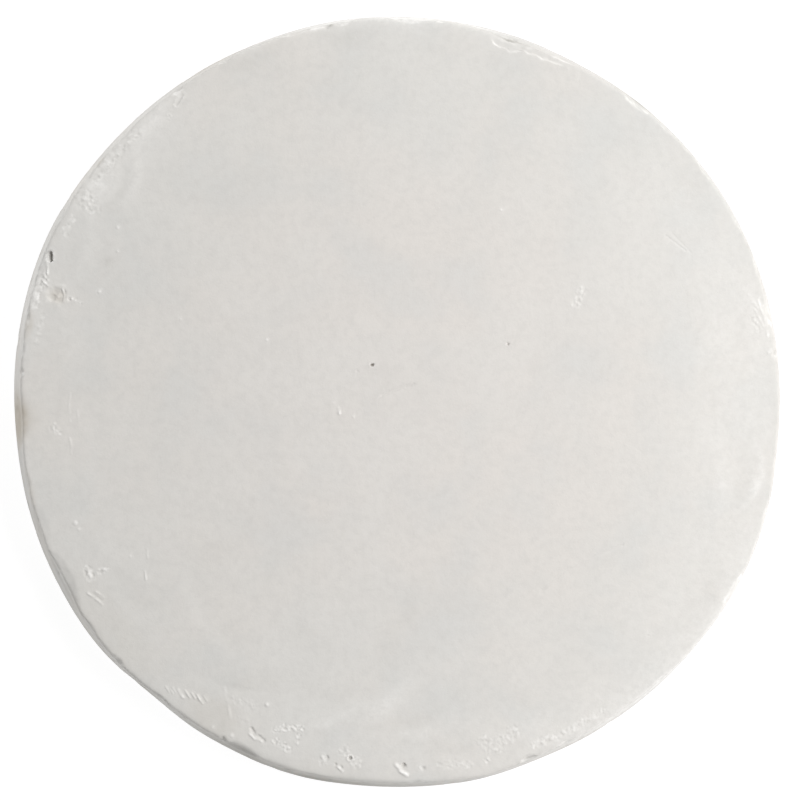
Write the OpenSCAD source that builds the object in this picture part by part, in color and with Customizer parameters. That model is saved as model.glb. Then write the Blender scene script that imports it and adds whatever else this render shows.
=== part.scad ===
// Flat round plaster mold, of the kind potters call a plaster bat. Clay is pressed, thrown or dried on its
// top face. One casting with a flaring side stands on its wider base, and three pieces are cast into it:
// a welded wire mesh against cracking, and two sleeves that drop over a wheel head's locating pins.
// Millimetres. The origin is at the centre of the base and +Z points up, out of the working face.
// The two sleeves lie on the X axis.

/* [Casting] */
// Diameter of the base, the widest part, measured to its corner before that is rounded
base_d = 330; // [300:1:380]
// Thickness from the base to the working face
height = 30; // [26:1:45]
// Lean of the side inwards from base to face, which frees the casting from its former
draft = 9; // [2:1:14]
// Radius of the worn edge round the working face
face_edge_r = 2; // [1:0.5:5]
// Radius of the edge round the base
base_edge_r = 1.5; // [0.5:0.5:3]

/* [Pin sleeves] */
// Distance between the centres of the two locating pins, a potter's wheel standard
pin_spacing = 254; // [150:1:254]
// Diameter of the bore that takes a locating pin of 9.5 mm
pin_bore_d = 10; // [9.8:0.1:11]
// Depth of the bore
pin_bore_depth = 11; // [9:0.5:12]
// Thickness of the sleeve round the bore and over its closed end
sleeve_wall = 2; // [1.5:0.5:3]
// How far the keying collars stand out of the sleeve
collar_reach = 1.5; // [1:0.5:2]
// Bevel that leads a pin into the bore
lead_in = 0.6; // [0.3:0.1:1]

/* [Wire mesh] */
// Distance between neighbouring wires
mesh_pitch = 25.4; // [20:0.1:50]
// Diameter of the wire
wire_d = 1.6; // [1.2:0.1:2.5]
// Plaster left between the ends of the wires and the edge of the base
mesh_cover = 25; // [20:1:40]
// Height of the mesh above the closed ends of the sleeves
mesh_gap = 5; // [4:0.5:7]

/* [Hidden] */
$fn = 96;

plaster_color = [0.86, 0.845, 0.825];
wire_color = [0.62, 0.64, 0.66];
sleeve_color = [0.9, 0.88, 0.8];

base_r = base_d / 2;
face_r = base_r - height * tan(draft);

sleeve_r = pin_bore_d / 2 + sleeve_wall;
sleeve_h = pin_bore_depth + sleeve_wall;
collar_h = 2;
collar_heights = [0.3, 0.65];

mesh_z = sleeve_h + mesh_gap;
mesh_r = base_r - mesh_cover;
wires_each_side = floor(mesh_r / mesh_pitch);
weld_sink = 0.3;
layer_offset = (wire_d - weld_sink) / 2;

arc_steps = 8;
overlap = 0.01;

// Points of an arc round (x, z) from one direction to another, in degrees
function arc(x, z, r, from, to) =
    [for (i = [0:arc_steps]) let (a = from + (to - from) * i / arc_steps) [x + r * cos(a), z + r * sin(a)]];

// Distance of a rounding's centre inwards from the corner's own tip, for a corner of the given angle
function corner_inset(r, corner) = r / tan(corner / 2);

// Half of the casting's section: the axis, the base, a small radius, the leaning side and the worn edge
module casting_section() {
    base_inset = corner_inset(base_edge_r, 90 - draft);
    face_inset = corner_inset(face_edge_r, 90 + draft);
    polygon(concat(
        [[0, 0]],
        arc(base_r - base_inset, base_edge_r, base_edge_r, -90, draft),
        arc(face_r - face_inset, height - face_edge_r, face_edge_r, draft, 90),
        [[0, height]]
    ));
}

// Places its children over one locating pin: side is -1 for the left one and 1 for the right one
module at_pin(side) {
    translate([side * pin_spacing / 2, 0, 0]) children();
}

// Outer form of a sleeve, also the space that it fills in the plaster
module sleeve_form() {
    cylinder(r = sleeve_r, h = sleeve_h);
    for (share = collar_heights)
        translate([0, 0, share * sleeve_h]) cylinder(r = sleeve_r + collar_reach, h = collar_h);
}

module sleeve() {
    difference() {
        sleeve_form();
        translate([0, 0, -overlap]) cylinder(d = pin_bore_d, h = pin_bore_depth + overlap);
        translate([0, 0, -overlap])
            cylinder(r1 = pin_bore_d / 2 + lead_in + overlap, r2 = pin_bore_d / 2, h = lead_in + overlap);
    }
}

// Half the length of a wire that lies at distance y from the middle of the round outline
function wire_reach(y) = sqrt(max(0, mesh_r * mesh_r - y * y));

// One layer of parallel wires along X. A wire too short to cross two others is left out, as it would fall off.
module wire_layer() {
    for (i = [-wires_each_side:wires_each_side - 1]) {
        y = (i + 0.5) * mesh_pitch;
        if (wire_reach(y) > mesh_pitch)
            translate([-wire_reach(y), y, 0])
                rotate([0, 90, 0]) cylinder(d = wire_d, h = 2 * wire_reach(y), $fn = 24);
    }
}

// Both layers, sunk into each other a little at every crossing, as resistance welding leaves them
module mesh_form() {
    translate([0, 0, mesh_z - layer_offset]) wire_layer();
    translate([0, 0, mesh_z + layer_offset]) rotate([0, 0, 90]) wire_layer();
}

module plaster_casting() {
    color(plaster_color)
        difference() {
            rotate_extrude($fn = 180) casting_section();
            for (side = [-1, 1]) at_pin(side) sleeve_form();
            mesh_form();
        }
}

module wire_mesh() {
    color(wire_color) mesh_form();
}

module pin_sleeve(side) {
    color(sleeve_color) at_pin(side) sleeve();
}

plaster_casting();
wire_mesh();
pin_sleeve(-1);  // pin_sleeve_left
pin_sleeve(1);  // pin_sleeve_right
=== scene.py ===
import itertools
import math

import bpy
import numpy as np
from mathutils import Matrix, Vector
from mathutils.geometry import delaunay_2d_cdt


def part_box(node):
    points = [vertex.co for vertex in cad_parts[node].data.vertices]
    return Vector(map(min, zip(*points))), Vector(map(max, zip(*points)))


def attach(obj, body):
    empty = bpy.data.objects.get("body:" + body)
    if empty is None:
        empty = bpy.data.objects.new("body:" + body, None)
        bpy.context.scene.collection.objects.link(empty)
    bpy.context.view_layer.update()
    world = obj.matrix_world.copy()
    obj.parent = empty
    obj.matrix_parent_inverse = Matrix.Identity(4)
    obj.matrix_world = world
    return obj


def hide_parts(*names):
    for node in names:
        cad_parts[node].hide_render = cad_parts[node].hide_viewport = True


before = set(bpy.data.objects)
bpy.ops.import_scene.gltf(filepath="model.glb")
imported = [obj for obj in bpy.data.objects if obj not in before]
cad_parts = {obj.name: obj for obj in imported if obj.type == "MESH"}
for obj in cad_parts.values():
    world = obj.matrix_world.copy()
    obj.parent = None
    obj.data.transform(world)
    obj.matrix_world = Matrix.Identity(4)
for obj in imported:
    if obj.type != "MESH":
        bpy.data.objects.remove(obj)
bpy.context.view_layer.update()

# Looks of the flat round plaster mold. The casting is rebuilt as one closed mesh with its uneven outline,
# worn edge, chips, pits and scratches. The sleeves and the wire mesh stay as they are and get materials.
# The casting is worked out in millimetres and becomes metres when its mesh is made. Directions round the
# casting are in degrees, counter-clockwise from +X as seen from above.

# ---------------------------------------------------------------- sizes

MM = 0.001
low, high = np.array(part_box("plaster_casting")) / MM
HEIGHT = high[2] - low[2]
WIDEST_R = (high[0] - low[0]) / 2

# Corner radii of the side's top and bottom, and how much narrower the face is than the base
ARRIS_R = 1.3
BASE_EDGE_R = 1.5
SIDE_INSET = 4.75
# The outline's highest wave reaches the widest radius, and the face's highest crumb the full height
TALLEST_WAVE = 1.45
TALLEST_CRUMB = 0.45
FACE_Z = HEIGHT - TALLEST_CRUMB

# Slow waves of the base's outline: direction, half-width in degrees, how far it stands out
OUTLINE_WAVES = [
    (0, 13, -0.9), (33, 12, 0.5), (62, 6, -0.5), (97, 11, 0.6), (128, 15, 0.4), (154, 12, 1.3),
    (187, 11, -0.8), (217, 8, 0.6), (230, 6, -1.2), (254, 8, 0.8), (281, 6, 0.3), (293, 6, -0.4),
    (331, 13, 0.7), (352, 6, -0.4),
]
# The same for the face's corner, on top of the outline's own waves
FACE_WAVES = [
    (2, 9, 0.8), (22, 8, 0.7), (42, 10, 0.4), (74, 6, -0.3), (82.8, 4, 0.8), (88.8, 2.4, -0.4),
    (94.5, 3.6, 0.8), (112, 10, 0.6), (140, 12, 0.1), (176, 7, -0.5), (183, 4, -0.7), (196, 8, 0.3),
    (228, 8, 1.2), (254, 8, 0.4), (268, 6, 0.1), (282, 8, 0.9), (306, 9, -0.2), (320, 9, 0.6),
    (334, 12, 1.2), (348, 10, 1.0),
]

# Mesh: columns round the rim, the finest spacing of the face's points, and their spacing beyond each radius
COLUMNS = 1280
FINEST = 0.42
FACE_SPACINGS = [(151.0, 2 * FINEST), (138.0, 4 * FINEST), (0.0, 8 * FINEST)]
BASE_SPACING = 8.0
SOCKET_SIDES = 48
# Distance from the corner that is given to points which no wear of the rim or side reaches
UNWORN = 200.0
# Room left between the base's inner points and a socket's middle, and the rim
SOCKET_CLEARANCE = 11.0
RIM_CLEARANCE = 9.0

# Points near the rim sink towards this ring inside the casting, the others straight down or up
CORE_R = 145.0
CORE_Z = HEIGHT / 2


# ---------------------------------------------------------------- helpers

def bell(angle, centre, half_width):
    """1 in the direction of centre, falling to 0 on both sides, for angles in degrees."""
    turn = (angle - centre + 180) % 360 - 180
    return np.exp(-((turn / half_width) ** 2))


def smooth(low_end, high_end, value):
    """0 at low_end and beyond it, 1 at high_end and beyond it, with a soft change between them."""
    t = np.clip((value - low_end) / (high_end - low_end), 0, 1)
    return t * t * (3 - 2 * t)


def noise(points, wavelength, seed):
    """Gradient noise, one value for each point in millimetres. The seed picks the pattern."""
    to_unit_range = 1.6  # brings the values to about -1 to 1
    random = np.random.default_rng(seed)
    order = random.permutation(256)
    slopes = random.normal(size=(256, 3))
    slopes /= np.linalg.norm(slopes, axis=1)[:, None]
    scaled = points / wavelength
    cell = np.floor(scaled).astype(int)
    part = scaled - cell
    fade = part**3 * (part * (part * 6 - 15) + 10)
    total = np.zeros(len(points))
    for corner in itertools.product((0, 1), repeat=3):
        c = (cell + corner) % 256
        row = order[(order[(order[c[:, 0]] + c[:, 1]) % 256] + c[:, 2]) % 256]
        lean = ((part - corner) * slopes[row]).sum(axis=1)
        total += lean * np.where(corner, fade, 1 - fade).prod(axis=1)
    return total * to_unit_range


def fractal(points, wavelength, octaves, seed):
    """Several layers of noise, each half as long and half as strong as the one before."""
    return sum(noise(points, wavelength / 2**i, seed + i) / 2**i for i in range(octaves))


def path_distance(x, y, path):
    """How far each point lies from a path of straight stretches, or from a single place."""
    if len(path) == 1:
        return np.hypot(x - path[0][0], y - path[0][1])
    nearest = np.full(len(x), np.inf)
    for (ax, ay), (bx, by) in itertools.pairwise(path):
        dx, dy = bx - ax, by - ay
        along = np.clip(((x - ax) * dx + (y - ay) * dy) / (dx * dx + dy * dy), 0, 1)
        nearest = np.minimum(nearest, np.hypot(x - ax - along * dx, y - ay - along * dy))
    return nearest


# ---------------------------------------------------------------- marks on the face

class Mark:
    """A pit, bump, scratch or rough spot: its path in x and y, how far it reaches to each side, how deep
    its middle is (below 0 for a bump), the lip pushed up round it, the height and grain of its
    roughness, and the mesh's spacing there."""

    def __init__(self, path, reach, depth=0.0, lip=0.0, rough=0.0, grain=2.2, spacing=FINEST):
        self.path = path
        self.reach = reach
        self.depth = depth
        self.lip = lip
        self.rough = rough
        self.grain = grain
        self.spacing = spacing
        self.centre = np.mean(path, axis=0)
        self.extent = max(math.dist(self.centre, p) for p in path) + 3 * reach

    def distance(self, x, y):
        """How far each point lies from the path, where 1 is the mark's reach."""
        return path_distance(x, y, self.path) / self.reach


def pit(x, y, reach, depth, lip=0.0):
    return Mark([(x, y)], reach, depth, lip)


def bump(x, y, reach, height):
    return Mark([(x, y)], reach, -height, lip=0.05)


def scratch(path, width, depth, lip=0.0):
    return Mark(path, width / 2, depth, lip)


def ridge(path, width, height):
    return Mark(path, width / 2, -height)


def gouge(path, width, depth, lip):
    return Mark(path, width / 2, depth, lip, rough=0.25, grain=1.6)


def scuff(path, reach, rough, grain=2.2):
    return Mark(path, reach, rough=rough, grain=grain, spacing=1.5 * FINEST)


def comb(start, end, teeth, length, lean, width, height):
    """A row of short uneven ridges side by side, as a scraper that jumps leaves them."""
    row = []
    for i in range(teeth):
        share = (i + 0.3 * math.sin(9 * i)) / (teeth - 1)
        reach = length * (0.8 + 0.35 * math.sin(5 * i)) / 2
        dx, dy = reach * math.cos(math.radians(lean)), reach * math.sin(math.radians(lean))
        x = start[0] + (end[0] - start[0]) * share
        y = start[1] + (end[1] - start[1]) * share + 0.5 * math.sin(4 * i)
        rise = height * (0.8 + 0.3 * math.sin(3 * i))
        row.append(ridge([(x - dx, y - dy), (x + dx, y + dy)], width, rise))
    return row


FACE_MARKS = [
    # Pinholes and small bumps in the open middle of the face
    pit(-11.4, 14.9, 0.75, 1.5, lip=0.1),
    pit(45.2, 23.6, 0.6, 0.9, lip=0.05),
    Mark([(-25.2, -3.0), (-25.0, -5.2)], 1.0, -0.36),
    Mark([(-19.4, -5.2), (-19.2, -6.6)], 0.9, -0.28),
    bump(-27.5, -1.0, 0.7, 0.16),
    pit(-17.6, 12.4, 0.6, 0.16),
    bump(-55.1, 25.3, 0.9, 0.3),
    bump(42.3, 79.4, 0.8, 0.3),
    bump(-124.6, 45.3, 1.1, 0.36),
    bump(-91.0, 34.0, 0.7, 0.2),
    scuff([(73.3, 40.0), (76.2, 46.0)], 2.4, 0.30, grain=1.5),
    scratch([(-7.4, 2.4), (-1.0, 5.2), (6.0, 7.0)], 1.0, 0.18),
    scratch([(-3.0, 3.4), (5.0, 6.2)], 0.9, 0.14),
    scratch([(110.9, 69.0), (119.2, 62.7)], 0.9, 0.12, lip=0.06),
    scratch([(113.5, 70.0), (121.4, 61.8)], 0.8, 0.08),
    scratch([(58.9, -78.7), (69.3, -70.8), (83.9, -63.3), (93.0, -60.0)], 0.9, 0.15),
    scuff([(103.0, -97.0)], 1.6, 0.22, grain=1.4),
    # Left: marks that run up and down
    ridge([(-136.8, -15.5), (-136.2, -18.5), (-136.4, -22.0)], 1.3, 0.18),
    ridge([(-136.6, 3.0), (-137.2, -2.5), (-136.6, -8.5)], 1.3, 0.10),
    ridge([(-133.6, -4.0), (-133.2, -9.5)], 1.3, 0.08),
    scuff([(-144.4, -10.4), (-141.6, -13.0)], 1.8, 0.3, grain=1.5),
    bump(-134.5, -50.8, 1.5, 0.34),
    bump(-133.0, -53.4, 1.0, 0.24),
    bump(-111.7, -64.6, 0.9, 0.2),
    ridge([(-105.6, -70.8), (-105.2, -74.2)], 1.1, 0.24),
    ridge([(-104.9, -61.5), (-104.5, -65.0)], 1.1, 0.22),
    scuff([(-129.2, -70.2), (-128.4, -73.6)], 2.4, 0.5, grain=1.8),
    scuff([(-124.4, -71.0), (-121.8, -70.2)], 1.5, 0.4, grain=1.5),
    ridge([(-129.4, -79.8), (-125.6, -82.4), (-123.2, -84.6)], 1.2, 0.36),
    scratch([(-127.2, -80.0), (-123.6, -82.8)], 0.9, 0.12),
    ridge([(-126.2, -79.0), (-122.5, -81.6)], 1.0, 0.16),
    # Left rim: a hole beside the edge, then a broken crater with a tail
    Mark([(-145.3, 61.6), (-144.9, 58.6)], 1.0, 2.6, 0.35),
    ridge([(-147.0, 60.6), (-146.4, 57.6), (-145.9, 55.6), (-146.0, 52.6)], 1.1, 0.6),
    Mark([(-143.4, 44.4), (-141.4, 43.8)], 3.1, 0.45, 0.12, 0.22, 2.0),
    pit(-144.1, 42.8, 1.5, 0.45),
    bump(-141.8, 43.2, 0.9, 0.35),
    ridge([(-139.9, 46.4), (-139.1, 43.8), (-139.5, 41.4)], 1.2, 0.4),
    pit(-137.2, 42.2, 0.7, 0.5),
    bump(-135.9, 42.3, 0.8, 0.4),
    scuff([(-134.2, 41.6), (-132.2, 40.6)], 1.2, 0.3, grain=1.4),
    scuff([(-147.4, 51.0), (-149.8, 45.0), (-151.4, 40.4)], 2.4, 0.40, grain=1.5),
    ridge([(-149.2, 50.8), (-145.9, 47.8)], 0.9, 0.42),
    ridge([(-147.9, 52.8), (-145.8, 49.8)], 0.9, 0.36),
    ridge([(-149.8, 48.6), (-149.6, 45.4)], 0.9, 0.36),
    ridge([(-150.6, 44.2), (-150.0, 41.6)], 0.8, 0.30),
    scuff([(-148.2, 36.0), (-151.0, 24.0)], 1.8, 0.17, grain=1.6),
    # Upper left: rubbed patches along the rim
    scuff([(-133.0, 87.0), (-128.0, 80.5)], 4.0, 0.34, grain=1.6),
    scuff([(-126.0, 93.0), (-121.0, 99.0)], 3.0, 0.28, grain=1.5),
    scuff([(-120.5, 100.5), (-110.0, 111.0)], 2.8, 0.28, grain=1.5),
    scuff([(-139.0, 70.0), (-136.0, 76.0)], 2.2, 0.3, grain=1.8),
    gouge([(-117.5, 107.5), (-113.0, 113.5)], 1.6, 0.12, lip=0.2),
    gouge([(-92.8, 123.0), (-90.5, 127.0)], 1.6, 0.2, lip=0.25),
    scuff([(-95.5, 118.0)], 1.8, 0.25, grain=1.5),
    bump(-117.0, 72.0, 1.0, 0.28),
    bump(-117.0, 62.0, 0.8, 0.24),
    # Lower left and bottom
    ridge([(-72.8, -119.0), (-70.9, -127.0), (-70.2, -131.5)], 2.0, 0.13),
    scuff([(-68.5, -124.0), (-60.5, -127.5)], 2.6, 0.13, grain=1.6),
    scuff([(-68.0, -132.0), (-63.0, -133.0)], 2.2, 0.1, grain=1.6),
    bump(-55.1, -126.1, 1.2, 0.42),
    Mark([(-61.4, -136.2), (-60.6, -137.6)], 0.9, 0.55),
    ridge([(-62.4, -138.2), (-60.2, -140.2), (-57.4, -141.2)], 1.6, 0.36),
    Mark([(-58.6, -139.2), (-56.2, -141.2)], 0.7, 0.4),
    # A burst bubble: crumbs round a plain middle
    scuff([(-51.6, -136.6), (-46.0, -135.6), (-40.6, -136.0)], 1.6, 0.46, grain=1.3),
    scuff([(-42.0, -138.6), (-42.6, -142.0)], 1.1, 0.36, grain=1.3),
    scuff([(-51.8, -141.2), (-46.0, -144.8)], 1.9, 0.46, grain=1.3),
    bump(-77.3, -135.4, 0.9, 0.35),
    bump(-69.6, -138.8, 1.2, 0.4),
    pit(-20.6, -148.4, 0.95, 1.0, lip=0.3),
    pit(-30.2, -148.2, 1.0, 0.6),
    bump(-32.0, -147.8, 1.1, 0.4),
    pit(-26.6, -151.0, 0.7, 0.5),
    Mark([(-25.8, -151.8), (-23.6, -153.8)], 0.7, -0.45),
    pit(-24.2, -152.2, 0.7, 0.4),
    scuff([(-23.0, -145.5), (-18.0, -150.5)], 2.8, 0.26, grain=1.6),
    scuff([(-32.0, -149.5)], 2.4, 0.3, grain=1.5),
    Mark([(-1.6, -151.0), (0.4, -153.8), (3.0, -155.2)], 1.15, -0.6),
    pit(1.6, -151.6, 1.1, 1.0),
    pit(9.8, -152.8, 0.9, 0.4),
    bump(8.4, -152.2, 1.0, 0.25),
    scuff([(17.0, -151.0), (28.5, -151.5)], 2.2, 0.22, grain=1.5),
    scuff([(34.5, -141.5), (40.0, -144.0), (47.5, -137.5)], 3.4, 0.26, grain=1.6),
    scuff([(36.0, -149.5)], 1.6, 0.4, grain=1.5),
    scuff([(66.0, -139.5), (73.0, -136.0), (80.0, -131.5)], 2.0, 0.24, grain=1.6),
    scuff([(84.0, -129.0)], 1.5, 0.3, grain=1.5),
    scuff([(56.0, -143.0), (64.0, -140.0)], 2.4, 0.3, grain=1.6),
    # Right: rubbed streaks beside the rim
    ridge([(145.4, 44.0), (149.2, 38.5)], 1.5, 0.24),
    ridge([(149.4, 41.5), (152.4, 34.0), (153.6, 27.0)], 1.7, 0.30),
    ridge([(148.0, 38.0), (151.6, 31.0)], 1.3, 0.24),
    ridge([(146.6, 41.0), (152.0, 39.5)], 1.2, 0.2),
    scuff([(147.5, 34.5), (149.5, 29.5)], 1.6, 0.35, grain=1.6),
    scuff([(154.6, 20.6)], 1.6, 0.5, grain=1.6),
]
FACE_MARKS += comb((-96.2, -119.8), (-81.0, -123.8), 11, 3.8, -58, 1.05, 0.32)
FACE_MARKS += comb((66.5, 139.0), (75.0, 134.6), 5, 3.0, 78, 1.0, 0.10)
FACE_MARKS += comb((-69.0, -123.4), (-60.0, -125.6), 5, 2.0, -70, 1.0, 0.10)

# Broad streaks and clouds that casting and scraping left: place, half-length, half-width, direction of the
# length, how far they stand out, and how much paler (above 0) or darker (below 0) they are
# Swells are painted paler and hollows darker, painted light and shade that stands in for their relief
STREAKS = [
    # Bottom
    ((-27, -133), 13, 2.2, 27, 0.20, 0.20), ((-6, -127), 18, 3.6, 35, 0.30, 0.24),
    ((2, -135), 18, 2.4, 12, -0.25, -0.10), ((6, -139), 11, 2.6, 0, 0.20, 0.10),
    ((23, -146), 9, 2.6, 0, -0.15, -0.07), ((-66, -119), 15, 2.8, -2, -0.30, -0.13),
    ((-30, -122), 22, 3.0, 0, -0.10, -0.06), ((3, -88), 12, 4.0, 62, -0.10, -0.07),
    ((-6, -105), 10, 4.5, 66, -0.10, -0.07), ((24, -82), 10, 6, 80, 0, -0.04),
    ((-31, -88), 9, 7, 0, 0, 0.05), ((19, -111), 12, 7, 40, 0.10, 0.07),
    ((52, -138), 20, 6, 14, 0.15, 0.08), ((60, -118), 30, 6, 30, -0.10, -0.04),
    # Left
    ((-77, -63), 13, 5, 5, 0, -0.08), ((-38, -96), 8, 4, 0, 0, -0.06), ((-69, -98), 9, 5, -40, 0, -0.06),
    ((-82, -94), 22, 3.2, -50, 0.20, 0.09), ((-110, -81), 14, 4.5, -42, -0.15, -0.07),
    ((-120, -64), 14, 4, -50, 0.10, 0.05), ((-138, 22), 17, 5, 84, 0.20, 0.07),
    ((-143, -4), 17, 2.4, 72, -0.15, -0.06), ((-128, -34), 24, 4, 84, 0.10, 0.05),
    ((-130, 63), 17, 3, 78, 0.20, 0.09), ((-120, 57.7), 1.8, 1.6, 0, 0, -0.26),
    # Upper left, beside the rim
    ((-104, 114), 19, 3.2, 47, 0.15, 0.24), ((-126, 89), 12, 4.2, 58, 0.20, 0.24),
    ((-110, 91), 13, 2.2, 76, 0.20, 0.12), ((-116, 88), 10, 1.8, 68, -0.20, -0.10),
    ((-61, 141), 15, 3.4, 27, -0.15, -0.10), ((-62, 146), 11, 1.8, 24, 0.10, 0.16),
    ((-71, 83), 12, 9, 30, 0, -0.05), ((-20, 151), 16, 3.6, 8, -0.20, -0.12),
    # Right
    ((95, 105), 13, 7, 130, 0, -0.07), ((123, 88), 12, 5, 126, -0.10, -0.06),
    ((148, 36), 18, 5, 106, 0.20, 0.10), ((130, 25), 14, 6, 60, 0.10, 0.06),
    ((134, -34), 17, 2.6, 92, 0.20, 0.10), ((143, -31), 15, 4.2, 87, -0.20, -0.09),
    ((151, -30), 9, 1.4, 84, 0.10, 0.26), ((147.6, -37), 7, 1.5, 76, 0.10, 0.26),
    ((127, -82), 15, 4.5, 72, -0.20, -0.10), ((118, -96), 16, 4, 56, 0.10, 0.05),
    ((34, 24), 12, 4, 88, 0, -0.05),
]


# ---------------------------------------------------------------- damage along the rim

# Chips out of the edge: direction, length, reach onto the face, reach down the side, depth, roughness
CHIPS = [
    (162.2, 17.0, 3.4, 1.5, 0.35, 0.60), (167.6, 9.0, 1.4, 2.0, 0.4, 0.5), (172.0, 9.0, 0.9, 3.0, 0.4, 0.3),
    (175.8, 5.0, 1.4, 2.0, 0.5, 0.6), (182.8, 30.0, 4.0, 15.0, 0.5, 0.03), (192.0, 12.0, 1.0, 5.0, 0.5, 0.15),
    (199.0, 24.0, 4.0, 6.0, 0.6, 0.05), (208.0, 32.0, 5.2, 10.0, 1.3, 0.04),
    (216.0, 12.0, 1.0, 6.0, 0.5, 0.15), (222.6, 7.0, 1.8, 2.0, 0.5, 0.5),
    (231.0, 10.0, 0.9, 3.0, 0.4, 0.3), (245.8, 18.0, 2.6, 8.0, 1.3, 0.10),
    (242.4, 2.4, 1.6, 1.4, 0.6, 0.5), (257.0, 20.0, 0.8, 5.0, 0.4, 0.15), (273.0, 9.0, 0.9, 3.0, 0.4, 0.2),
    (289.8, 6.5, 1.4, 1.8, 1.1, 0.6), (296.0, 5.0, 0.9, 2.0, 0.4, 0.4), (313.0, 7.0, 0.9, 2.5, 0.4, 0.3),
    (332.4, 5.0, 1.1, 2.0, 0.5, 0.6), (343.0, 12.0, 1.1, 3.0, 0.4, 0.3), (350.5, 8.0, 0.9, 2.5, 0.4, 0.3),
    (7.2, 4.5, 2.0, 1.5, 0.5, 0.7), (13.2, 12.0, 1.4, 2.5, 0.5, 0.5), (20.0, 11.0, 1.0, 3.0, 0.4, 0.3),
    (28.0, 6.0, 0.9, 2.0, 0.4, 0.3), (37.0, 9.0, 1.0, 3.0, 0.4, 0.3), (45.5, 6.0, 1.0, 2.0, 0.4, 0.4),
    (51.6, 13.0, 1.4, 2.2, 0.7, 0.5), (73.0, 7.0, 1.5, 1.5, 0.8, 0.4), (84.0, 6.0, 0.9, 2.0, 0.4, 0.4),
    (88.0, 22.0, 1.2, 5.0, 0.7, 0.2), (98.4, 9.0, 1.4, 4.0, 0.6, 0.3), (101.0, 3.6, 1.4, 2.4, 0.9, 0.5),
    (106.0, 15.0, 0.9, 4.0, 0.4, 0.3), (117.0, 8.0, 0.8, 3.0, 0.4, 0.3), (125.6, 5.0, 1.8, 2.0, 0.5, 0.7),
    (136.0, 9.0, 1.0, 3.0, 0.4, 0.4), (144.5, 6.0, 1.0, 2.5, 0.4, 0.4), (150.5, 10.0, 0.8, 3.0, 0.4, 0.3),
]
# Flakes that left a sunken ledge along the edge: direction, length, width of the ledge, drop
LEDGES = [
    (68.0, 28.0, 3.7, 0.34), (73.0, 17.0, 5.2, 0.50), (72.0, 18.0, 1.7, 0.40), (66.0, 20.0, 0.5, 0.40),
    (14.6, 10.0, 3.4, 0.25), (141.0, 26.0, 6.0, 0.14), (331.0, 20.0, 1.6, 0.35), (51.4, 9.0, 1.0, 0.30),
]
# Stretches of the rim whose broken surface needs the finest mesh: direction, length, width
FINE_ARCS = [(69.8, 42.0, 4.5), (162.0, 20.0, 3.5), (13.5, 14.0, 3.0), (245.8, 16.0, 2.5)]
# Chips out of the base's edge, away from the face: direction, length, height, depth
BASE_CHIPS = [
    (12, 9, 3.5, 1.0), (40, 16, 3.0, 0.8), (66, 7, 4.0, 1.2), (97, 20, 2.5, 0.7), (123, 8, 4.5, 1.3),
    (149, 12, 3.0, 0.8), (171, 6, 3.5, 1.0), (198, 15, 3.0, 0.9), (226, 9, 5.0, 1.4), (251, 12, 2.5, 0.7),
    (278, 7, 4.0, 1.1), (303, 18, 3.0, 0.8), (322, 6, 3.5, 1.0), (347, 11, 3.0, 0.9),
]
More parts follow.
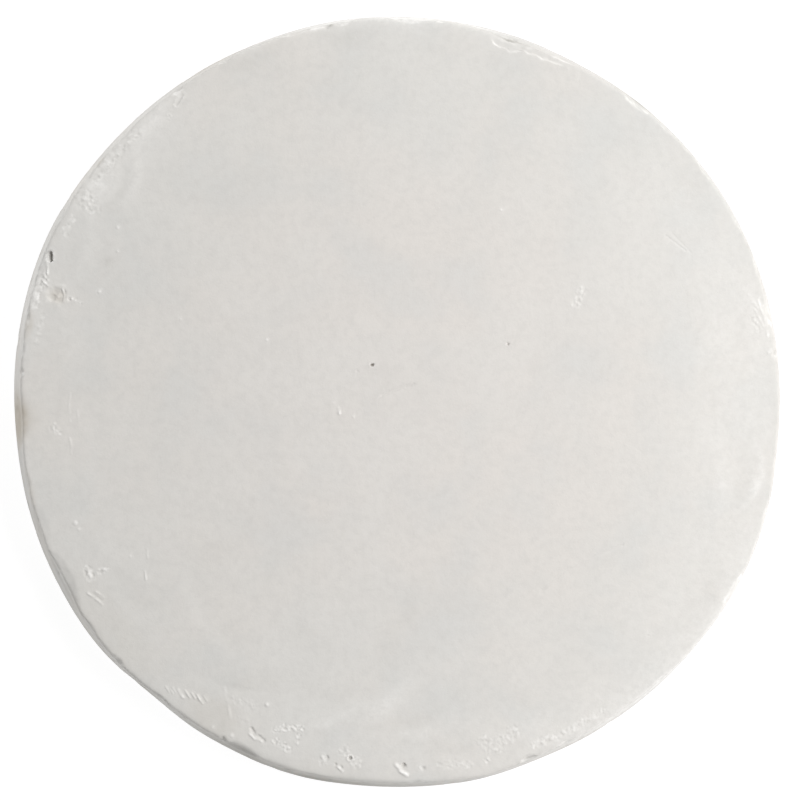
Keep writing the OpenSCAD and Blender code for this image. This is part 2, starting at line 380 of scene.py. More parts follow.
# Painted areas, some of them stains, dirt and wear and some painted light and shade: what, direction,
# distance down the side (below 0 on the face), half-length, half-height and strength
PAINTED = [
    ("stain", 182.7, 16.0, 11.5, 18.6, 0.66), ("stain", 182.9, -0.4, 9.0, 2.2, 0.30),
    ("stain", 201.0, 6.0, 14.0, 7.0, 0.20), ("stain", 212.0, 5.0, 10.0, 6.0, 0.15),
    ("stain", 194.0, 0.5, 12.0, 2.5, 0.25), ("stain", 239.5, -7.0, 13.0, 9.0, 0.15),
    ("stain", 219.0, -7.0, 30.0, 9.0, 0.09),
    ("stain", 168.5, -1.0, 6.0, 2.5, 0.30), ("stain", 163.0, -10.5, 3.6, 4.0, 0.30),
    ("stain", 141.4, 2.0, 3.0, 2.6, 0.30),
    ("stain", 120.0, 18.0, 20.0, 8.0, 0.22), ("stain", 300.0, 20.0, 26.0, 7.0, 0.15),
    ("stain", 52.0, 16.0, 18.0, 8.0, 0.18),
    # Rows low on the side from 205° to 272° are painted shade on the side turned from the lamps, the rows at
    # 73.2°, 100.4°, 246° and 290.2° are painted shade in the notches of chips, and the row at 16° is painted
    # shade along the arris
    ("soil_and_painted_shade", 205.0, 27.0, 50.0, 9.0, 0.30), ("soil_and_painted_shade", 228.0, 22.0, 8.0, 10.0, 0.35),
    ("soil_and_painted_shade", 244.0, 20.0, 17.0, 16.0, 0.45), ("soil_and_painted_shade", 258.0, 20.0, 26.0, 16.0, 0.95),
    ("soil_and_painted_shade", 272.0, 26.0, 24.0, 13.0, 0.30), ("soil_and_painted_shade", 290.2, 0.2, 3.2, 1.3, 0.8),
    ("soil_and_painted_shade", 246.0, 4.0, 8.0, 4.0, 0.40), ("soil_and_painted_shade", 73.2, 0.6, 5.5, 1.1, 0.9),
    ("soil_and_painted_shade", 100.4, 0.5, 1.6, 1.2, 0.7), ("soil_and_painted_shade", 72.4, 10.0, 12.0, 9.0, 0.16),
    ("soil_and_painted_shade", 51.2, 22.0, 5.0, 9.0, 0.7), ("soil_and_painted_shade", 16.0, 0.6, 130.0, 2.0, 0.30),
    # Rows down the side at 90°, 135°, 165°, 303° and 328°, on the edge from 171.5° to 195° and over the face
    # at 180° and 272° are painted light; the row at 2° is partly a paler rim and partly painted light
    ("rub_and_painted_light", 90.0, 15.0, 44.0, 12.0, 1.5), ("rub_and_painted_light", 102.6, 0.5, 3.0, 1.4, 0.8),
    ("rub_and_painted_light", 195.0, 0.2, 26.0, 1.8, 0.46), ("rub_and_painted_light", 171.5, 0.0, 14.0, 1.7, 0.25),
    ("rub_and_painted_light", 182.0, 0.2, 10.0, 1.3, 0.22),
    ("rub_and_painted_light", 135.0, 12.0, 40.0, 15.0, 0.10), ("rub_and_painted_light", 165.0, 11.0, 24.0, 13.0, 0.40),
    ("rub_and_painted_light", 303.0, 14.0, 36.0, 15.0, 0.75), ("rub_and_painted_light", 328.0, 14.0, 40.0, 14.0, 0.8),
    ("rub_and_painted_light", 139.0, -9.0, 30.0, 8.0, 0.12), ("rub_and_painted_light", 2.0, -16.0, 130.0, 26.0, 0.14),
    ("rub_and_painted_light", 272.0, -10.0, 100.0, 26.0, 0.09), ("rub_and_painted_light", 180.0, -12.0, 120.0, 24.0, 0.05),
]


def side_bubbles(count, seed):
    """Air bubbles cast against the side: direction, distance down the side, radius, depth."""
    random = np.random.default_rng(seed)
    rows = []
    for _ in range(count):
        radius = random.uniform(0.9, 1.9)
        direction, down = random.uniform(0, 360), random.uniform(3, 27)
        rows.append((direction, down, radius, radius * random.uniform(0.3, 0.6)))
    return rows


# ---------------------------------------------------------------- the casting's unworn surface

def base_corner(angle):
    """Radius of the base's corner in each direction."""
    waves = sum(height * bell(angle, centre, width) for centre, width, height in OUTLINE_WAVES)
    return WIDEST_R - TALLEST_WAVE + waves


def face_corner(angle):
    """Radius of the face's corner in each direction."""
    waves = sum(height * bell(angle, centre, width) for centre, width, height in FACE_WAVES)
    return base_corner(angle) - SIDE_INSET + waves


class Skin:
    """Points of the casting before it was worn: place, direction from the middle, and how far each lies
    from the face's corner, below 0 on the face and above 0 down the side. Marks add to depth."""

    def __init__(self, x, y, z, from_corner):
        self.place = np.stack([x, y, z], axis=1)
        self.angle = np.degrees(np.arctan2(y, x)) % 360
        self.from_corner = from_corner
        radius = np.hypot(x, y)
        pull = np.minimum(radius, CORE_R) / np.maximum(radius, 1e-9)
        self.inward = np.stack([x * pull - x, y * pull - y, CORE_Z - z], axis=1)
        self.inward /= np.linalg.norm(self.inward, axis=1)[:, None]
        self.depth = np.zeros(len(x))
        self.rub_and_painted_light = np.zeros(len(x))
        self.soil_and_painted_shade = np.zeros(len(x))
        self.stain = np.zeros(len(x))

    def around(self, angle, reach):
        """Points within reach of a direction, measured along the rim, and their distances along it."""
        turn = (self.angle - angle + 180) % 360 - 180
        along = np.radians(turn) * WIDEST_R
        near = np.abs(along) < reach
        return near, along[near]


def rim_rows():
    """The rim's section in every direction, from a ring on the face, over the corner, down the side and
    under the base. Each row holds x, y, z and the distance from the corner."""
    angle = np.arange(COLUMNS) * 360 / COLUMNS
    top, bottom = face_corner(angle), base_corner(angle)
    lean = np.arctan2(bottom - top, FACE_Z)
    slant = np.hypot(bottom - top, FACE_Z)
    top_tangent = ARRIS_R / np.tan((math.pi / 2 + lean) / 2)
    base_tangent = BASE_EDGE_R / np.tan((math.pi / 2 - lean) / 2)
    rows = []

    def add(radius, z, from_corner):
        rows.append((radius * np.cos(np.radians(angle)), radius * np.sin(np.radians(angle)),
                     np.broadcast_to(z, radius.shape), np.broadcast_to(from_corner, radius.shape)))

    for inset in (2.6, 1.9):
        add(top - inset, FACE_Z, -inset)
    for step in np.linspace(0, 1, 6):
        turn = math.pi / 2 - (math.pi / 2 - lean) * step
        add(top - top_tangent + ARRIS_R * np.cos(turn), FACE_Z - ARRIS_R + ARRIS_R * np.sin(turn),
            top_tangent * (2 * step - 1))
    side_steps = 20
    for step in range(1, side_steps):
        down = top_tangent + (slant - top_tangent - base_tangent) * step / side_steps
        add(top + down * np.sin(lean), FACE_Z - down * np.cos(lean), down)
    for step in np.linspace(0, 1, 5):
        turn = lean - (lean + math.pi / 2) * step
        add(bottom - base_tangent + BASE_EDGE_R * np.cos(turn), BASE_EDGE_R + BASE_EDGE_R * np.sin(turn),
            slant - base_tangent + 2 * base_tangent * step)
    add(bottom - base_tangent - 2.0, 0.0, slant + base_tangent + 2.0)
    return rows


def face_points(ring_radius):
    """Points inside the ring, on a triangular lattice that grows finer near the rim and round each mark."""
    count = int(2.2 * WIDEST_R / FINEST)
    i, j = (k.ravel() for k in np.mgrid[-count:count, -count:count])
    x, y = (i + j / 2) * FINEST, j * FINEST * math.sqrt(3) / 2
    radius = np.hypot(x, y)
    inside = radius < ring_radius.max()
    i, j, x, y, radius = (k[inside] for k in (i, j, x, y, radius))
    angle = np.degrees(np.arctan2(y, x)) % 360
    directions = np.arange(COLUMNS) * 360 / COLUMNS
    to_ring = np.interp(angle, directions, ring_radius, period=360) - radius
    wanted = np.full(len(x), FACE_SPACINGS[-1][1])
    for inner, spacing in FACE_SPACINGS:
        wanted[radius > inner] = np.minimum(wanted[radius > inner], spacing)
    for direction, length, width in FINE_ARCS:
        along = np.radians((angle - direction + 180) % 360 - 180) * WIDEST_R
        wanted[(np.abs(along) < length / 2 + 1) & (to_ring < width)] = FINEST
    for mark in FACE_MARKS:
        near = np.flatnonzero(np.hypot(x - mark.centre[0], y - mark.centre[1]) < mark.extent)
        t = mark.distance(x[near], y[near])
        wanted[near[t < 1.5]] = np.minimum(wanted[near[t < 1.5]], mark.spacing)
        wanted[near[t < 2.5]] = np.minimum(wanted[near[t < 2.5]], 2 * mark.spacing)
    step = 2 ** np.clip(np.floor(np.log2(wanted / FINEST + 1e-6)), 0, 3).astype(int)
    chosen = (i % step == 0) & (j % step == 0) & (to_ring > 0.5)
    return x[chosen], y[chosen]


def triangles_within(points, loops):
    """Triangles over the points, inside the first loop and outside the others. A loop is a range of
    indices of points, counter-clockwise, and the loops after the first bulge outwards all round."""
    edges = [pair for loop in loops for pair in zip(loop, [*loop[1:], loop[0]])]
    flat = [Vector(p) for p in points]
    found, _, faces, source, _, _ = delaunay_2d_cdt(flat, edges, [list(loops[0])], 1, 1e-7, True)
    first = [s[0] for s in source]
    faces = np.array([[first[k] for k in face] for face in faces])
    for loop in loops:
        # Corners that all lie on one loop, taken in its order, turn left within it and right beyond it
        on_loop = np.flatnonzero(np.isin(faces, list(loop)).all(axis=1))
        a, b, c = points[np.sort(faces[on_loop], axis=1)].transpose(1, 2, 0)
        turns_left = (b[0] - a[0]) * (c[1] - a[1]) - (b[1] - a[1]) * (c[0] - a[0]) > 0
        stray = ~turns_left if loop is loops[0] else turns_left
        faces = np.delete(faces, on_loop[stray], axis=0)
    return faces


# ---------------------------------------------------------------- wear

def wave_face(skin, flat, on_face):
    """Waviness all over the face, and a finer unevenness near its rim."""
    skin.depth += on_face * (0.10 * fractal(flat, 60, 3, 11) + 0.02 * noise(flat, 9, 15))
    near_rim = smooth(-26, -4, skin.from_corner)
    skin.depth += on_face * near_rim * (0.05 * fractal(flat, 14, 2, 21) + 0.022 * noise(flat, 3.2, 23))


def streak_face(skin, flat, on_face):
    """Low swells and hollows that bend a little, paler or darker than the rest of the face: painted light on
    the swells and painted shade in the hollows.
    """
    x, y, _ = flat.T
    drift = np.clip(0.9 + 0.5 * noise(flat, 15, 17) + 0.4 * noise(flat, 4, 18), 0, 2)
    for (cx, cy), length, width, direction, height, paler in STREAKS:
        c, s = math.cos(math.radians(direction)), math.sin(math.radians(direction))
        u, v = (x - cx) * c + (y - cy) * s, (y - cy) * c - (x - cx) * s
        bend = v - u * u / (4 * length)
        shape = on_face * np.exp(-((u / length) ** 2) - (bend / width) ** 2)
        skin.depth -= height * shape
        painted = skin.rub_and_painted_light if paler > 0 else skin.soil_and_painted_shade
        painted += abs(paler) * shape * drift


def mark_section(mark, t, grain, broken):
    """Depth across a mark, as a share of its full depth: round for a pit, with a soft foot for a bump."""
    if mark.depth > 0:
        edge = t * (1 + 0.22 * grain)
        return np.sqrt(np.clip(1 - edge * edge, 0, 1))
    swell = np.clip(1 - t * t, 0, 1) ** 2
    return swell * broken if len(mark.path) > 1 else swell


def add_mark(skin, flat, mark, seed):
    """One mark of the face: its hollow or bump, its lip and its crumbs, with pale crests, darker gaps, a
    painted highlight on its lip or bump and painted shade in a deep hollow.
    """
    x, y, _ = flat.T
    reached = np.hypot(x - mark.centre[0], y - mark.centre[1]) < mark.extent
    near = np.flatnonzero(reached & (skin.from_corner < 1.5))
    t = mark.distance(x[near], y[near])
    grain = noise(flat[near], mark.grain, seed)
    broken = np.clip(0.75 + 1.1 * noise(flat[near], 2.6, seed + 300), 0, 1.5)
    hollow = mark_section(mark, t, grain, broken)
    skin.depth[near] += mark.depth * hollow
    lip = np.exp(-(((t - 1.25) / 0.35) ** 2)) * broken
    skin.depth[near] -= mark.lip * lip
    patch = smooth(1.15, 0.45, t + 0.45 * noise(flat[near], 2 * mark.grain, seed + 200))
    fine = grain + 0.5 * noise(flat[near], mark.grain / 2, seed + 100)
    crumbs, gaps = smooth(0.08, 0.50, fine), smooth(0.12, 0.60, -fine)
    skin.depth[near] += mark.rough * patch * (0.5 * gaps - 0.55 * crumbs)
    pale = patch * (0.3 + 0.7 * crumbs) * min(0.85, 1.3 * mark.rough)
    # A lip or bump gets a painted highlight
    raised_highlight = np.clip(1.6 * mark.lip * lip - 1.5 * mark.depth * hollow, 0, 0.8)
    skin.rub_and_painted_light[near] = np.maximum(skin.rub_and_painted_light[near], np.maximum(pale, raised_highlight))
    # A deep hollow gets painted shade, and gaps between crumbs are darker
    dark_gaps_and_hollow_shade = np.maximum(patch * gaps * 0.5 * min(1, mark.rough), hollow * smooth(0.7, 1.6, mark.depth))
    skin.soil_and_painted_shade[near] = np.maximum(skin.soil_and_painted_shade[near], dark_gaps_and_hollow_shade)


def wear_face(skin):
    """Waviness, streaks and marks of the face."""
    flat = skin.place * [1, 1, 0]
    on_face = smooth(2.0, -1.0, skin.from_corner)
    wave_face(skin, flat, on_face)
    streak_face(skin, flat, on_face)
    for number, mark in enumerate(FACE_MARKS):
        add_mark(skin, flat, mark, seed=40 + number)


def cut_ledge(skin, grain, wander, angle, length, width, drop):
    """A sunken ledge along the edge, with a pale broken riser behind it."""
    near, along = skin.around(angle, 0.75 * length)
    s = skin.from_corner[near]
    t = np.clip(1 - (2 * along / length) ** 2, 0, 1)
    lip = -width * t**0.35 * (1 + 0.12 * wander[near]) + 0.45 * grain[near]
    ends = smooth(0.0, 0.55, t)
    ledge = smooth(lip - 0.25, lip + 0.25, s) * ends * smooth(5, 2, s)
    skin.depth[near] += drop * ledge * (1 + 0.35 * grain[near])
    riser = np.exp(-(((s - lip) / 0.55) ** 2)) * ends * smooth(0.1, 0.5, drop)
    skin.rub_and_painted_light[near] = np.maximum(skin.rub_and_painted_light[near], riser * np.clip(0.45 + 1.1 * wander[near], 0, 0.85))


def chip_edge(skin, grain, angle, length, on_face, down_side, depth, rough):
    """A chip out of the face's edge, with pale crests where it is rough."""
    near, along = skin.around(angle, 0.8 * length)
    middle, half = (down_side - on_face) / 2, (down_side + on_face) / 2
    t = (2 * along / length) ** 2 + ((skin.from_corner[near] - middle) / half) ** 2
    t = t * (1 + (0.12 + 0.7 * rough) * grain[near])
    # A smooth dent fades out at its border, and a rough chip ends in a step
    scoop = np.clip(1 - t, 0, 1) ** (0.6 if rough > 0.1 else 1.2)
    skin.depth[near] += scoop * (depth + rough * grain[near])
    crests = smooth(0.1, -0.35, grain[near]) * min(0.65, rough)
    skin.rub_and_painted_light[near] = np.maximum(skin.rub_and_painted_light[near], crests * smooth(0, 0.4, scoop))


def wear_rim(skin):
    """Rounding, ledges and chips along the face's edge."""
    grain = fractal(skin.place, 3.4, 3, 31)
    wander = noise(skin.place, 5.0, 32)
    worn = 0.20 + 0.24 * noise(skin.place, 26, 33) + 0.14 * noise(skin.place, 7, 34)
    skin.depth += np.clip(worn, 0.02, 1) * np.exp(-((skin.from_corner / 1.5) ** 2))
    for ledge in LEDGES:
        cut_ledge(skin, grain, wander, *ledge)
    for chip in CHIPS:
        chip_edge(skin, grain, *chip)


def wear_side(skin):
    """Unevenness of the side, the faint seam round it and its air bubbles, with painted shade inside each
    bubble.
    """
    s = skin.from_corner
    side = smooth(0.5, 3, s) * smooth(0.2, 2.5, skin.place[:, 2])
    stretched = skin.place * [1, 1, 2.2]
    skin.depth += side * (0.16 * fractal(stretched, 34, 3, 51) + 0.05 * noise(skin.place, 6, 55) + 0.12)
    seam = 0.42 * HEIGHT + 0.9 * noise(skin.place * [1, 1, 0], 40, 57)
    skin.depth += side * 0.14 * np.exp(-(((skin.place[:, 2] - seam) / 0.9) ** 2))
    for angle, down, radius, depth in side_bubbles(count=170, seed=61):
        near, along = skin.around(angle, 1.5 * radius)
        t = np.hypot(along, s[near] - down) / radius
        skin.depth[near] += depth * np.clip(1 - t * t, 0, 1)
        # Each bubble is darkened inside: painted shade
        skin.soil_and_painted_shade[near] = np.maximum(skin.soil_and_painted_shade[near], 0.7 * np.clip(1 - t, 0, 1))


def wear_base_edge(skin, grain):
    """Chips and crumbling of the base's edge."""
    past_corner = skin.from_corner - math.hypot(SIDE_INSET, HEIGHT)
    for angle, length, rise, depth in BASE_CHIPS:
        near, along = skin.around(angle, 0.8 * length)
        t = (2 * along / length) ** 2 + (past_corner[near] / rise) ** 2
        t = t * (1 + 0.3 * grain[near])
        skin.depth[near] += np.clip(1 - t, 0, 1) ** 0.6 * (depth + 0.25 * grain[near])
    crumbled = np.clip(0.25 + 0.3 * grain, 0, 1) * 0.4 * np.exp(-((past_corner / 1.6) ** 2))
    skin.depth += crumbled * (skin.place[:, 2] < 4)


def paint(skin, grain):
    """Adds the painted areas, among them painted light and shade, to the values that the marks have set."""
    blotches = 0.85 + 0.4 * grain + 0.25 * noise(skin.place, 8, 66)
    for name, angle, down, length, spread, strength in PAINTED:
        near, along = skin.around(angle, 2.2 * length)
        t = (along / length) ** 2 + ((skin.from_corner[near] - down) / spread) ** 2
        # Wide areas are smooth and small ones blotchy, and a stain ends more sharply than the others
        uneven = 1 + (blotches[near] - 1) * min(1, 6 / spread)
        fall = np.exp(-t * t) if name == "stain" else np.exp(-t)
        painted = getattr(skin, name)
        painted[near] += np.clip(fall * strength * uneven, 0, 1)


# ---------------------------------------------------------------- the casting's mesh

def socket_steps(sleeve):
    """The outer form of a cast-in sleeve as (height, radius) steps, with its centre, read from its node."""
    corner, other = np.array(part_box(sleeve)) / MM
    centre = (corner[:2] + other[:2]) / 2
    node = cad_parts[sleeve]
    place = np.array([v.co for v in node.data.vertices]) / MM
    radius = np.linalg.norm(place[:, :2] - centre, axis=1)
    levels = np.unique(np.round(place[:, 2], 2))
    widest = {z: radius[np.abs(place[:, 2] - z) < 0.02].max() for z in levels}
    body = widest[levels[-1]]
    steps = [(0.0, body)]
    collars = [z for z in levels if widest[z] > body + 0.3]
    for start, end in zip(collars[::2], collars[1::2]):
        steps += [(start, body), (start, widest[start]), (end, widest[end]), (end, body)]
    return centre, [*steps, (levels[-1], body)]


def neighbours(first, count):
    """Each point and the next one of a closed row of count points, numbered from first."""
    return [(first + k, first + (k + 1) % count) for k in range(count)]


def socket_mesh(first):
    """Points, faces, mouth loops and centres of the sockets, for points numbered from first."""
    points, faces, mouths, centres = [], [], [], []
    turns = np.arange(SOCKET_SIDES) * math.tau / SOCKET_SIDES
    for sleeve in ("pin_sleeve_left", "pin_sleeve_right"):
        (cx, cy), steps = socket_steps(sleeve)
        centres.append((cx, cy))
        for z, radius in steps:
            points.append(np.stack([cx + radius * np.cos(turns), cy + radius * np.sin(turns),
                                    np.full(SOCKET_SIDES, z), np.full(SOCKET_SIDES, UNWORN)], axis=1))
        mouths.append(list(range(first, first + SOCKET_SIDES)))
        last = first + (len(steps) - 1) * SOCKET_SIDES
        for start in range(first, last, SOCKET_SIDES):
            faces += [[a, a + SOCKET_SIDES, b + SOCKET_SIDES, b] for a, b in neighbours(start, SOCKET_SIDES)]
        faces.append(list(reversed(range(last, last + SOCKET_SIDES))))
        first = last + SOCKET_SIDES
    return np.concatenate(points), faces, mouths, centres


def base_points(holes):
    """Points under the base, inside its rim and clear of the sockets."""
    points = []
    half = int(WIDEST_R / BASE_SPACING)
    for i, j in itertools.product(range(-half, half + 1), repeat=2):
        x, y = (i + (j % 2) / 2) * BASE_SPACING, j * BASE_SPACING * 0.9
        clear = all(math.dist((x, y), hole) > SOCKET_CLEARANCE for hole in holes)
        if math.hypot(x, y) < WIDEST_R - RIM_CLEARANCE and clear:
            points.append((x, y, 0.0, UNWORN))
    return np.array(points)


def unworn_casting():
    """Points and faces of the casting before it was worn, with a socket in its base for each sleeve. Each
    point has its distance from the face's corner after x, y and z."""
    rows = rim_rows()
    rim = np.concatenate([np.stack(row, axis=1) for row in rows])
    fx, fy = face_points(np.hypot(rows[0][0], rows[0][1]))
    face_angle = np.degrees(np.arctan2(fy, fx)) % 360
    face = np.stack([fx, fy, np.full(len(fx), FACE_Z), np.hypot(fx, fy) - face_corner(face_angle)], axis=1)
    sockets, socket_faces, mouths, centres = socket_mesh(len(rim) + len(face))
    points = np.concatenate([rim, face, sockets, base_points(centres)])

    faces = []
    for start in range(0, len(rim) - COLUMNS, COLUMNS):
        faces += [[a, a + COLUMNS, b + COLUMNS, b] for a, b in neighbours(start, COLUMNS)]
    top_ids = np.concatenate([np.arange(COLUMNS), len(rim) + np.arange(len(face))])
    top = triangles_within(points[top_ids, :2], [range(COLUMNS)])
    faces += top_ids[top].tolist()
    loops = [range(len(rim) - COLUMNS, len(rim)), *mouths]
    under_ids = np.concatenate([*loops, np.arange(len(rim) + len(face) + len(sockets), len(points))])
    ends = np.cumsum([0] + [len(loop) for loop in loops])
    under = triangles_within(points[under_ids, :2], [range(a, b) for a, b in itertools.pairwise(ends)])
    faces += under_ids[under][:, ::-1].tolist()
    return points, faces + socket_faces


def build_casting():
    """The casting as one closed mesh, with its wear as shape and its rubbed, soiled and stained areas and its
    painted light and shade as values at its points."""
    points, faces = unworn_casting()
    skin = Skin(*points.T)
    wear_face(skin)
    wear_rim(skin)
    wear_side(skin)
    grain = fractal(skin.place, 3.0, 2, 63)
    wear_base_edge(skin, grain)
    paint(skin, grain)
    worn = skin.place + skin.inward * skin.depth[:, None]
    worn[:, 2] = np.clip(worn[:, 2], 0, HEIGHT)

    mesh = bpy.data.meshes.new("casting_skin")
    mesh.from_pydata((worn * MM).tolist(), [], faces)
    for name in ("rub_and_painted_light", "soil_and_painted_shade", "stain"):
        values = mesh.attributes.new(name, "FLOAT", "POINT")
        values.data.foreach_set("value", np.clip(getattr(skin, name), 0, 1).astype(np.float32))
    mesh.validate()
    mesh.shade_smooth()
    piece = bpy.data.objects.new("casting_skin", mesh)
    bpy.context.scene.collection.objects.link(piece)
    return piece


# ---------------------------------------------------------------- materials

class Nodes:
    """Short calls for a material's node tree."""

    def __init__(self, name):
        self.material = bpy.data.materials.new(name)
        self.material.use_nodes = True
        self.tree = self.material.node_tree
        self.shader = self.tree.nodes["Principled BSDF"]
        self.place = self.add("ShaderNodeTexCoord").outputs["Object"]

    def add(self, kind, **settings):
        node = self.tree.nodes.new(kind)
        for key, value in settings.items():
            setattr(node, key, value)
        return node

    def set(self, socket, value):
        """Puts a number, a colour or another node's output into a socket."""
        if isinstance(value, bpy.types.NodeSocket):
            self.tree.links.new(value, socket)
        else:
            socket.default_value = value

    def noise(self, wavelength, detail=4, rough=0.55):
        """Noise whose blotches are about wavelength across, in metres."""
        node = self.add("ShaderNodeTexNoise")
        self.set(node.inputs["Vector"], self.place)
        self.set(node.inputs["Scale"], 1 / wavelength)
        self.set(node.inputs["Detail"], detail)
        self.set(node.inputs["Roughness"], rough)
        return node.outputs["Fac"]

    def from_origin(self):
        """How far each point lies from the frame's origin, in metres."""
        node = self.add("ShaderNodeVectorMath", operation="LENGTH")
        self.set(node.inputs[0], self.place)
        return node.outputs["Value"]

    def cells(self, size):
        """Distance to the nearest of scattered points, about size apart, in metres."""
        node = self.add("ShaderNodeTexVoronoi")
        self.set(node.inputs["Vector"], self.place)
        self.set(node.inputs["Scale"], 1 / size)
        return node.outputs["Distance"]

    def ramp(self, value, start, end, low_value=0.0, high_value=1.0):
        """A soft step from low_value to high_value, as the value goes from start to end."""
        node = self.add("ShaderNodeMapRange", interpolation_type="SMOOTHSTEP")
        self.set(node.inputs["Value"], value)
        self.set(node.inputs["From Min"], start)
        self.set(node.inputs["From Max"], end)
        self.set(node.inputs["To Min"], low_value)
        self.set(node.inputs["To Max"], high_value)
        return node.outputs["Result"]

    def times(self, a, b):
        node = self.add("ShaderNodeMath", operation="MULTIPLY")
        self.set(node.inputs[0], a)
        self.set(node.inputs[1], b)
        return node.outputs["Value"]

    def blend(self, share, a, b, blend_type="MIX"):
        """Colour a where share is 0 and colour b, or a times b, where share is 1."""
        node = self.add("ShaderNodeMix", data_type="RGBA", blend_type=blend_type)
        self.set(node.inputs["Factor"], share)
        self.set(node.inputs["A"], a)
        self.set(node.inputs["B"], b)
        return node.outputs["Result"]

    def painted(self, name):
        """A value stored at the mesh's points."""
        return self.add("ShaderNodeAttribute", attribute_name=name).outputs["Fac"]

    def bump(self, height, distance, below=None):
        """Adds relief of a height in metres, on top of an earlier bump."""
        node = self.add("ShaderNodeBump")
        self.set(node.inputs["Height"], height)
        self.set(node.inputs["Distance"], distance)
        if below is not None:
            self.set(node.inputs["Normal"], below)
        return node.outputs["Normal"]

    def finish(self, color, roughness, normal, **constants):
        self.set(self.shader.inputs["Base Color"], color)
        self.set(self.shader.inputs["Roughness"], roughness)
        self.set(self.shader.inputs["Normal"], normal)
        for name, value in constants.items():
            self.shader.inputs[name.replace("_", " ")].default_value = value
        return self.material


def plaster_material():
    n = Nodes("plaster")
    plain, warm, cool = (0.708, 0.684, 0.654, 1), (0.718, 0.684, 0.649, 1), (0.694, 0.681, 0.660, 1)
    grey, speck, less_pink = (0.600, 0.582, 0.556, 1), (0.580, 0.560, 0.535, 1), (0.986, 1.0, 1.002, 1)
    rubbed_and_lit_color, soiled_and_shaded_color, stained = (0.92, 0.905, 0.88, 1), (0.24, 0.225, 0.19, 1), (0.45, 0.385, 0.290, 1)
    color = n.blend(n.ramp(n.noise(0.055, 3), 0.35, 0.68), plain, warm)
    color = n.blend(n.ramp(n.noise(0.034, 3), 0.48, 0.75, 0, 0.8), color, cool)
    clouds = n.ramp(n.noise(0.034, 6, 0.58), 0.35, 0.68, 0, 0.21)
    color = n.blend(clouds, color, grey)
    speckle = n.ramp(n.noise(0.0036, 4, 0.75), 0.36, 0.76, 0, 0.34)
    color = n.blend(speckle, color, speck)
    # Towards the rim it is a little less pink
    color = n.blend(n.ramp(n.from_origin(), 0.05, 0.15), color, less_pink, "MULTIPLY")
    flecks = n.ramp(n.noise(0.0024, 3, 0.7), 0.32, 0.68, 0.55, 1.4)
    # Rubbed areas and painted light turn paler, soiled areas and painted shade darker
    color = n.blend(n.times(n.painted("rub_and_painted_light"), flecks), color, rubbed_and_lit_color)
    color = n.blend(n.times(n.painted("soil_and_painted_shade"), 0.60), color, soiled_and_shaded_color)
    color = n.blend(n.times(n.painted("stain"), 0.85), color, stained)
    roughness = n.ramp(n.noise(0.012, 3), 0.3, 0.7, 0.82, 0.95)
    pores = n.ramp(n.cells(0.0016), 0.0, 0.22, 0.0, 1.0)
    normal = n.bump(n.noise(0.0016, 4, 0.65), 0.000055)
    normal = n.bump(pores, 0.00002, normal)
    normal = n.bump(n.noise(0.007, 4, 0.6), 0.00014, normal)
    return n.finish(color, roughness, normal, Specular_IOR_Level=0.25)


def wire_material():
    n = Nodes("galvanised_wire")
    color = n.blend(n.ramp(n.cells(0.004), 0.1, 0.6), (0.44, 0.46, 0.48, 1), (0.60, 0.62, 0.64, 1))
    color = n.blend(n.ramp(n.noise(0.009, 4), 0.58, 0.72, 0, 0.7), color, (0.32, 0.20, 0.12, 1))
    roughness = n.ramp(n.noise(0.005, 3), 0.3, 0.7, 0.35, 0.6)
    return n.finish(color, roughness, n.bump(n.noise(0.0012, 3), 0.00003), Metallic=0.9)


def sleeve_material():
    n = Nodes("sleeve_plastic")
    color = n.blend(n.ramp(n.noise(0.006, 3), 0.35, 0.7), (0.70, 0.66, 0.55, 1), (0.62, 0.58, 0.48, 1))
    roughness = n.ramp(n.noise(0.003, 3), 0.3, 0.7, 0.4, 0.6)
    return n.finish(color, roughness, n.bump(n.noise(0.0009, 3), 0.00002))


def floor_material():
    """White as in the photo: it glows, and its own colour is dark so that shadows hardly show."""
    n = Nodes("pale_floor")
    color = n.blend(n.ramp(n.noise(0.4, 2), 0.3, 0.7), (0.19, 0.19, 0.19, 1), (0.21, 0.21, 0.21, 1))
    n.set(n.shader.inputs["Base Color"], color)
    n.shader.inputs["Roughness"].default_value = 0.9
    n.shader.inputs["Emission Color"].default_value = (1, 1, 1, 1)
    n.shader.inputs["Emission Strength"].default_value = 0.90
    return n.material


def dress(node_name, material):
    """Gives a CAD node its material."""
    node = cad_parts[node_name]
    node.data.materials.clear()
    node.data.materials.append(material)


# ---------------------------------------------------------------- stage

def add_floor():
    bpy.ops.mesh.primitive_plane_add(size=8, location=(0, 0, -0.0004))
    floor = bpy.context.object
    floor.name = "floor"
    floor.data.materials.append(floor_material())


def aim(thing, target):
    thing.rotation_euler = (Vector(target) - thing.location).to_track_quat("-Z", "Y").to_euler()


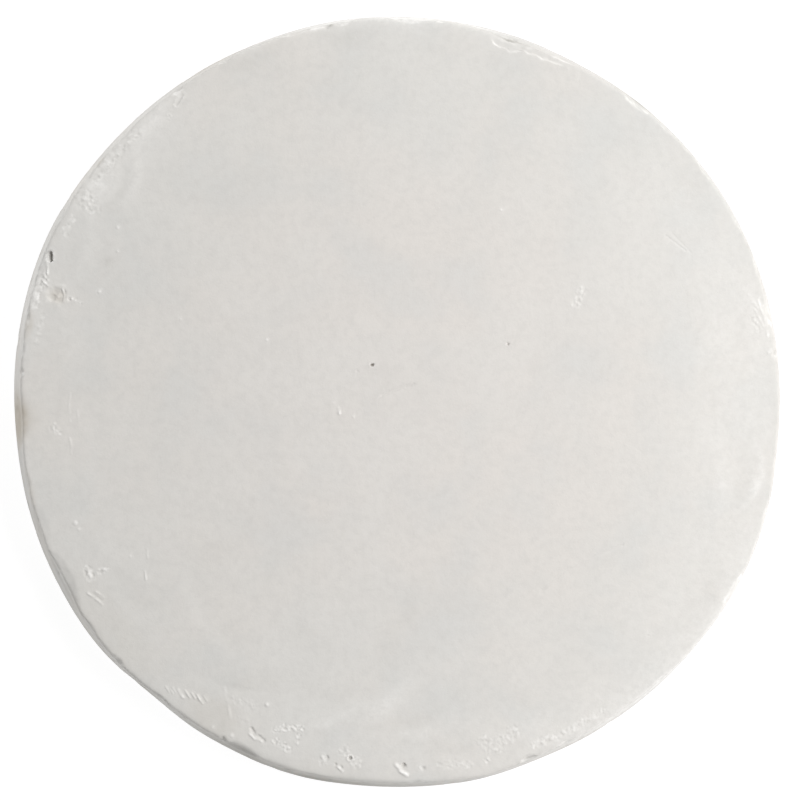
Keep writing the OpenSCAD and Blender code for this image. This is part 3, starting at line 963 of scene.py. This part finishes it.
def add_light(name, azimuth, elevation, distance, size, watts):
    """A square lamp that faces the middle of the casting."""
    data = bpy.data.lights.new(name, "AREA")
    data.shape = "SQUARE"
    data.size = size
    data.energy = watts
    lamp = bpy.data.objects.new(name, data)
    a, e = math.radians(azimuth), math.radians(elevation)
    lamp.location = (distance * math.cos(e) * math.cos(a), distance * math.cos(e) * math.sin(a),
                     distance * math.sin(e))
    aim(lamp, (0, 0, HEIGHT * MM))
    bpy.context.scene.collection.objects.link(lamp)


def add_world(strength):
    world = bpy.data.worlds.new("studio")
    world.use_nodes = True
    background = world.node_tree.nodes["Background"]
    background.inputs["Color"].default_value = (1, 1, 1, 1)
    background.inputs["Strength"].default_value = strength
    bpy.context.scene.world = world


def add_camera():
    """Straight above, a little towards the lower left, so that the side shows more there."""
    distance, width_seen = 1.5, 0.3397
    data = bpy.data.cameras.new("camera")
    data.sensor_width = 36
    data.lens = data.sensor_width * distance / width_seen
    data.shift_x = 0.0030
    data.shift_y = 0.0015
    camera = bpy.data.objects.new("camera", data)
    lean, direction = math.radians(1.3), math.radians(215)
    camera.location = (distance * math.sin(lean) * math.cos(direction),
                       distance * math.sin(lean) * math.sin(direction), distance * math.cos(lean))
    forward = -camera.location.normalized()
    up = Vector((1, 0, 0)).cross(forward).normalized()
    right = forward.cross(up)
    camera.rotation_euler = Matrix((right, up, -forward)).transposed().to_euler()
    bpy.context.scene.collection.objects.link(camera)
    bpy.context.scene.camera = camera


# ---------------------------------------------------------------- making the scene

casting = build_casting()
casting.data.materials.append(plaster_material())
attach(casting, "root")
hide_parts("plaster_casting")

dress("wire_mesh", wire_material())
sleeve_look = sleeve_material()
dress("pin_sleeve_left", sleeve_look)
dress("pin_sleeve_right", sleeve_look)

add_floor()
add_world(0.255)
add_light("window", azimuth=6, elevation=53, distance=1.12, size=0.7, watts=11.25)
add_light("reflector", azimuth=95, elevation=14, distance=1.4, size=0.8, watts=6.7)
add_light("left_card", azimuth=165, elevation=10, distance=1.3, size=0.8, watts=3.4)
add_light("right_card", azimuth=322, elevation=8, distance=1.4, size=0.8, watts=3.8)
add_camera()
bpy.context.scene.view_settings.view_transform = "Standard"
